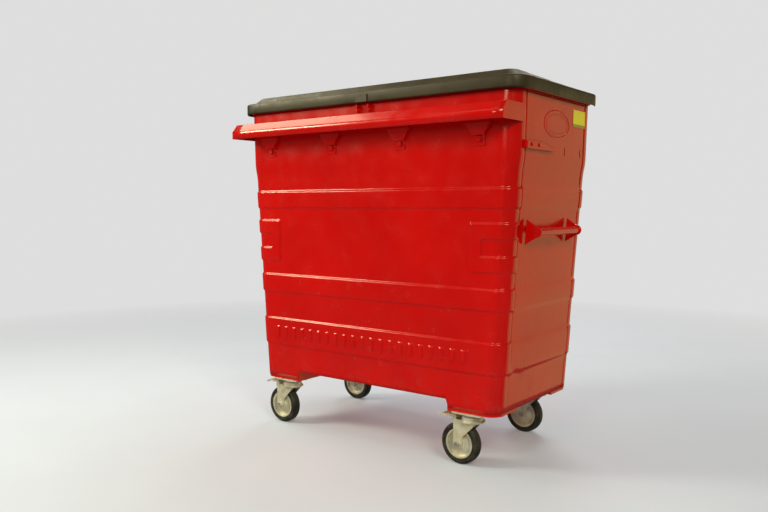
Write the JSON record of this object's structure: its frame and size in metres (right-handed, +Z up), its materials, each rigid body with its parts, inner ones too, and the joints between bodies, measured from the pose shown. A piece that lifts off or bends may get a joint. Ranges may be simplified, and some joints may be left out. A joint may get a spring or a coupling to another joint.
{
  "type": "four-wheeled waste container",
  "caption": "Tapered pressed steel waste container with a domed plastic lid, front lifting bar, side grab rails and swivel castors.",
  "frame": {"origin": "on the ground, under the middle of the container's bounding box", "axes": "+Z up, -Y out of the front with the lifting bar, +X to the right when facing the front"},
  "size_m": [1.333, 0.771, 1.368],
  "materials": {
    "red_paint": "gloss",
    "lid_plastic": "satin",
    "zinc_plated": "zinc plated",
    "bolt_steel": "satin",
    "bush_plastic": "satin",
    "tyre_black": "satin",
    "label_yellow": "gloss"
  },
  "bodies": {
    "bin": {"ball_races": "zinc_plated", "body_bolts": "red_paint", "castor_bolts": "bolt_steel", "castor_plate_front_left": "zinc_plated", "castor_plate_front_right": "zinc_plated", "castor_plate_rear_left": "zinc_plated", "castor_plate_rear_right": "zinc_plated", "comb_bar": "red_paint", "comb_bar_ends": "red_paint", "comb_brackets": "red_paint", "drain_plug": "bush_plastic", "floor_channels": "red_paint", "floor_panel": "red_paint", "foot_front_left": "red_paint", "foot_front_right": "red_paint", "foot_rear_left": "red_paint", "foot_rear_right": "red_paint", "front_panel": "red_paint", "grab_rail_left": "red_paint", "grab_rail_right": "red_paint", "hinge_brackets": "red_paint", "hinge_rod": "bolt_steel", "kingpins": "zinc_plated", "rail_brackets_left": "red_paint", "rail_brackets_right": "red_paint", "rating_label": "label_yellow", "rear_panel": "red_paint", "rim_frame": "red_paint", "rod_caps": "bolt_steel", "side_lug_left": "red_paint", "side_lug_right": "red_paint", "side_panel_left": "red_paint", "side_panel_right": "red_paint", "striker_lugs": "red_paint"},
    "lid": {"lid": "lid_plastic", "lid_knuckles": "lid_plastic", "lid_tongue": "lid_plastic"},
    "castor_front_left": {"castor_fork_front_left": "zinc_plated", "axle_bolt_front_left": "bolt_steel"},
    "wheel_front_left": {"wheel_disc_front_left": "zinc_plated", "tyre_front_left": "tyre_black", "wheel_bush_front_left": "bush_plastic"},
    "castor_front_right": {"castor_fork_front_right": "zinc_plated", "axle_bolt_front_right": "bolt_steel"},
    "wheel_front_right": {"wheel_disc_front_right": "zinc_plated", "tyre_front_right": "tyre_black", "wheel_bush_front_right": "bush_plastic"},
    "castor_rear_left": {"castor_fork_rear_left": "zinc_plated", "axle_bolt_rear_left": "bolt_steel"},
    "wheel_rear_left": {"wheel_disc_rear_left": "zinc_plated", "tyre_rear_left": "tyre_black", "wheel_bush_rear_left": "bush_plastic"},
    "castor_rear_right": {"castor_fork_rear_right": "zinc_plated", "axle_bolt_rear_right": "bolt_steel"},
    "wheel_rear_right": {"wheel_disc_rear_right": "zinc_plated", "tyre_rear_right": "tyre_black", "wheel_bush_rear_right": "bush_plastic"},
    "pedal_front_left": {"brake_pedal_front_left": "zinc_plated"},
    "pedal_front_right": {"brake_pedal_front_right": "zinc_plated"}
  },
  "joints": [
    {"name": "lid_hinge", "type": "hinge", "parent": "bin", "child": "lid", "pos_m": [0, 0.3695, 1.33], "axis": [-1, 0, 0], "range_deg": [0, 270]},
    {"name": "swivel_front_left", "type": "hinge", "parent": "bin", "child": "castor_front_left", "pos_m": [-0.44, -0.2375, 0.171], "axis": [0, 0, 1], "continuous": true},
    {"name": "spin_front_left", "type": "hinge", "parent": "castor_front_left", "child": "wheel_front_left", "pos_m": [-0.486, -0.2375, 0.075], "axis": [0, 1, 0], "continuous": true},
    {"name": "press_front_left", "type": "hinge", "parent": "castor_front_left", "child": "pedal_front_left", "pos_m": [-0.498, -0.2375, 0.1721], "axis": [0, -1, 0], "range_deg": [0, 12]},
    {"name": "swivel_front_right", "type": "hinge", "parent": "bin", "child": "castor_front_right", "pos_m": [0.44, -0.2375, 0.171], "axis": [0, 0, 1], "continuous": true},
    {"name": "spin_front_right", "type": "hinge", "parent": "castor_front_right", "child": "wheel_front_right", "pos_m": [0.394, -0.2375, 0.075], "axis": [0, 1, 0], "continuous": true},
    {"name": "press_front_right", "type": "hinge", "parent": "castor_front_right", "child": "pedal_front_right", "pos_m": [0.382, -0.2375, 0.1721], "axis": [0, -1, 0], "range_deg": [0, 12]},
    {"name": "swivel_rear_left", "type": "hinge", "parent": "bin", "child": "castor_rear_left", "pos_m": [-0.44, 0.2505, 0.171], "axis": [0, 0, 1], "continuous": true},
    {"name": "spin_rear_left", "type": "hinge", "parent": "castor_rear_left", "child": "wheel_rear_left", "pos_m": [-0.486, 0.2505, 0.075], "axis": [0, 1, 0], "continuous": true},
    {"name": "swivel_rear_right", "type": "hinge", "parent": "bin", "child": "castor_rear_right", "pos_m": [0.44, 0.2505, 0.171], "axis": [0, 0, 1], "continuous": true},
    {"name": "spin_rear_right", "type": "hinge", "parent": "castor_rear_right", "child": "wheel_rear_right", "pos_m": [0.394, 0.2505, 0.075], "axis": [0, 1, 0], "continuous": true}
  ]
}
